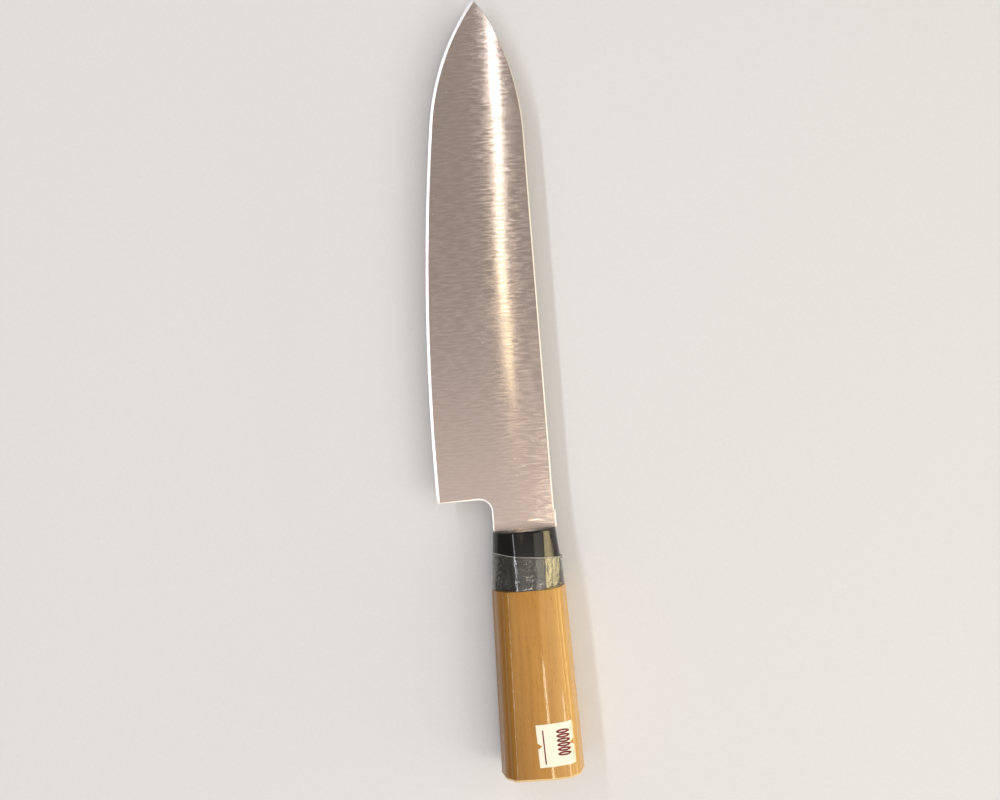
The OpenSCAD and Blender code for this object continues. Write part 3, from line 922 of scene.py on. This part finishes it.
def print_line(start, end, width, finish=0):
    """A printed line between two places on the label."""
    along = run(start, end, print_spacing)
    aside = Vector((start[1] - end[1], end[0] - start[0])).normalized() * width / 2
    sides = [
        [on_label(print_shell, *(p + way * aside), label_t + ink_lift) for p in along] for way in (-1, 1)]
    print_shell.band(*sides, finish=finish, closed=False)


def print_nought(center, size, width):
    """A printed nought, lying on its side."""
    turns = [2 * math.pi * k / nought_steps for k in range(nought_steps)]
    loops = [[on_label(
        print_shell,
        center[0] + (size[0] / 2 - width[0] * inset) * math.cos(a),
        center[1] + (size[1] / 2 - width[1] * inset) * math.sin(a),
        label_t + ink_lift) for a in turns] for inset in nought_insets]
    print_shell.tube(loops)


print_line((rule_s, rule_t[0]), (rule_s, rule_t[1]), rule_w)
for border_from, border_to in border_runs:
    print_line((border_s, border_from), (border_s, border_to), border_w, finish=1)
for k in range(digit_count):
    center = (digit_from[0] + digit_size[0] / 2, digit_from[1] + digit_pitch * (k + 0.5))
    print_nought(center, digit_size, stroke_w)

# Red stamping ink: dull, and thinner where the roller pressed less.
ink_patch = 0.7 * MM
red_ink, tree = start_material("stamping_ink_red")
place = add_node(tree, "TexCoord", output="Object")
ink_cover = add_node(tree, "TexNoise", None, {"Vector": place, "Scale": 1 / ink_patch, "Detail": 3.0})
ink_share = add_node(tree, "MapRange", None, {"Value": ink_cover, "From Min": 0.35, "From Max": 0.75})
ink_colour = add_node(tree, "Mix", {"data_type": "RGBA"}, {
    "Factor_Float": ink_share, "A_Color": linear("#5a0c14"), "B_Color": linear("#962c32")})
shader = add_node(tree, "BsdfPrincipled", None, {"Base Color": ink_colour, "Roughness": 0.6})
add_node(tree, "OutputMaterial", None, {"Surface": shader})

# Grey ink of the rule that the paper was bought with: pale and even.
grey_ink, tree = start_material("offset_ink_grey")
place = add_node(tree, "TexCoord", output="Object")
grey_cover = add_node(tree, "TexNoise", None, {"Vector": place, "Scale": 1 / ink_patch, "Detail": 2.0})
grey_colour = add_node(tree, "Mix", {"data_type": "RGBA"}, {
    "Factor_Float": grey_cover, "A_Color": linear("#9c9890"), "B_Color": linear("#cfcabd")})
shader = add_node(tree, "BsdfPrincipled", None, {"Base Color": grey_colour, "Roughness": 0.6})
add_node(tree, "OutputMaterial", None, {"Surface": shader})

label_print = print_shell.piece("label_print", [red_ink, grey_ink], crease=50)
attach(label_print, "root")

# Studio floor
# A plain pale surface that the knife lies on; it isn't part of the object.

floor_half = 6.0
floor_grain = 1.5 * MM
pale_floor, tree = start_material("studio_floor_pale_matte")
place = add_node(tree, "TexCoord", output="Object")
floor_mottle = add_node(tree, "TexNoise", None, {
    "Vector": place, "Scale": 1 / floor_grain, "Detail": 2.0})
floor_colour = add_node(tree, "Mix", {"data_type": "RGBA"}, {
    "Factor_Float": floor_mottle, "A_Color": linear("#d9dade"), "B_Color": linear("#dfe0e4")})
shader = add_node(tree, "BsdfPrincipled", None, {"Base Color": floor_colour, "Roughness": 0.9})
add_node(tree, "OutputMaterial", None, {"Surface": shader})
floor_mesh = bpy.data.meshes.new("studio_floor")
floor_mesh.from_pydata(
    [(x * floor_half, y * floor_half, 0.0) for x, y in ((-1, -1), (1, -1), (1, 1), (-1, 1))],
    [], [(0, 1, 2, 3)])
floor_mesh.materials.append(pale_floor)
studio_floor = bpy.data.objects.new("studio_floor", floor_mesh)
bpy.context.scene.collection.objects.link(studio_floor)

# Studio light
# A dim room that is lighter overhead and towards the butt, with a warm softbox and a far low strip at the
# spine side. Slim strips overhead draw the streak on the steel, and panels and a strip at the edge side
# draw the thin lines on its corners, the ferrule and the wood.

zenith_light = 0.46
horizon_light = 0.26
room = bpy.data.worlds.new("studio_room")
room.use_nodes = True
tree = room.node_tree
tree.nodes.clear()
toward = add_node(tree, "TexCoord", output="Generated")
height_way = add_node(tree, "SeparateXYZ", None, {"Vector": toward}, "Z")
tip_way = add_node(tree, "SeparateXYZ", None, {"Vector": toward}, "Y")
edge_way = add_node(tree, "SeparateXYZ", None, {"Vector": toward}, "X")
height_light = add_node(tree, "MapRange", {"interpolation_type": "SMOOTHSTEP"}, {
    "Value": height_way, "From Min": 0.4, "From Max": 0.93,
    "To Min": horizon_light, "To Max": zenith_light})
tip_shade = add_node(tree, "MapRange", {"interpolation_type": "SMOOTHSTEP"}, {
    "Value": tip_way, "From Min": -0.2, "From Max": 0.15, "To Min": 2.15, "To Max": 1.0})
edge_shade = add_node(tree, "MapRange", {"interpolation_type": "SMOOTHSTEP"}, {
    "Value": edge_way, "From Min": -0.7, "From Max": -0.1, "To Min": 0.85, "To Max": tip_shade})
room_light = add_node(tree, "Math", {"operation": "MULTIPLY"}, {
    "Value": height_light, "Value_001": edge_shade})
background = add_node(tree, "Background", None, {"Color": linear("#fff8f0"), "Strength": room_light})
add_node(tree, "OutputWorld", None, {"Surface": background})
bpy.context.scene.world = room


def lamp(name, center, aim, size, colour, radiance, askew=0.0):
    """A rectangular lamp of some radiance that faces a point; its length runs along the knife, or askew."""
    data = bpy.data.lights.new(name, "AREA")
    data.shape = "RECTANGLE"
    data.size, data.size_y = size
    data.color = linear(colour)[:3]
    data.energy = radiance * math.pi * size[0] * size[1]
    made = bpy.data.objects.new(name, data)
    back = (Vector(center) - Vector(aim)).normalized()
    across = Vector((askew, 1, 0)).cross(back).normalized()
    turn = Matrix((across, back.cross(across), back)).transposed()
    made.matrix_world = Matrix.Translation(center) @ turn.to_4x4()
    bpy.context.scene.collection.objects.link(made)


on_floor = (0.0, 0.0, 0.0)
lamp("softbox_spine_side", (0.75, -0.20, 0.85), on_floor, (1.4, 1.2), "#fff4e6", 0.98)
lamp("panel_spine_side", (0.80, -0.49, 0.90), on_floor, (0.4, 0.12), "#fff6e0", 8.0)
lamp("panel_over_handle", (0.09, -0.50, 1.20), on_floor, (0.15, 0.22), "#fff4d8", 13.0)
lamp("strip_low_spine_side", (5.2, 0.6, 0.64), on_floor, (0.8, 6.4), "#ffeab0", 6.0)
lamp("strip_over_point", (-0.0085, 0.56, 1.213), on_floor, (0.008, 0.18), "#ffffff", 8.5)
lamp("strip_over_belly", (-0.0154, 0.34, 1.213), on_floor, (0.008, 0.26), "#fffae8", 5.5, askew=0.053)
lamp("strip_over_heel", (-0.0217, 0.125, 1.213), on_floor, (0.010, 0.17), "#fff0c0", 4.0)
lamp("strip_edge_side", (-0.60, 0.35, 1.04), on_floor, (0.08, 2.2), "#f4f6ff", 10.0)
lamp("panel_butt_side", (0.0, -1.15, 0.45), on_floor, (1.2, 0.5), "#fffaf0", 0.9)

# Camera
# Straight above the knife, as the photograph was taken, with the knife leaning a little to the left.

camera_over = (0.0034, -0.0059)
camera_height = 0.420
camera_turn = math.radians(4.59)
focal_length = 36.0
film_width = 36.0
camera_data = bpy.data.cameras.new("camera_above")
camera_data.lens = focal_length
camera_data.sensor_width = film_width
camera = bpy.data.objects.new("camera_above", camera_data)
camera.location = (*camera_over, knife_origin.z + camera_height)
camera.rotation_euler = (0.0, 0.0, -camera_turn)
bpy.context.scene.collection.objects.link(camera)
bpy.context.scene.camera = camera
bpy.context.scene.view_settings.view_transform = "Standard"
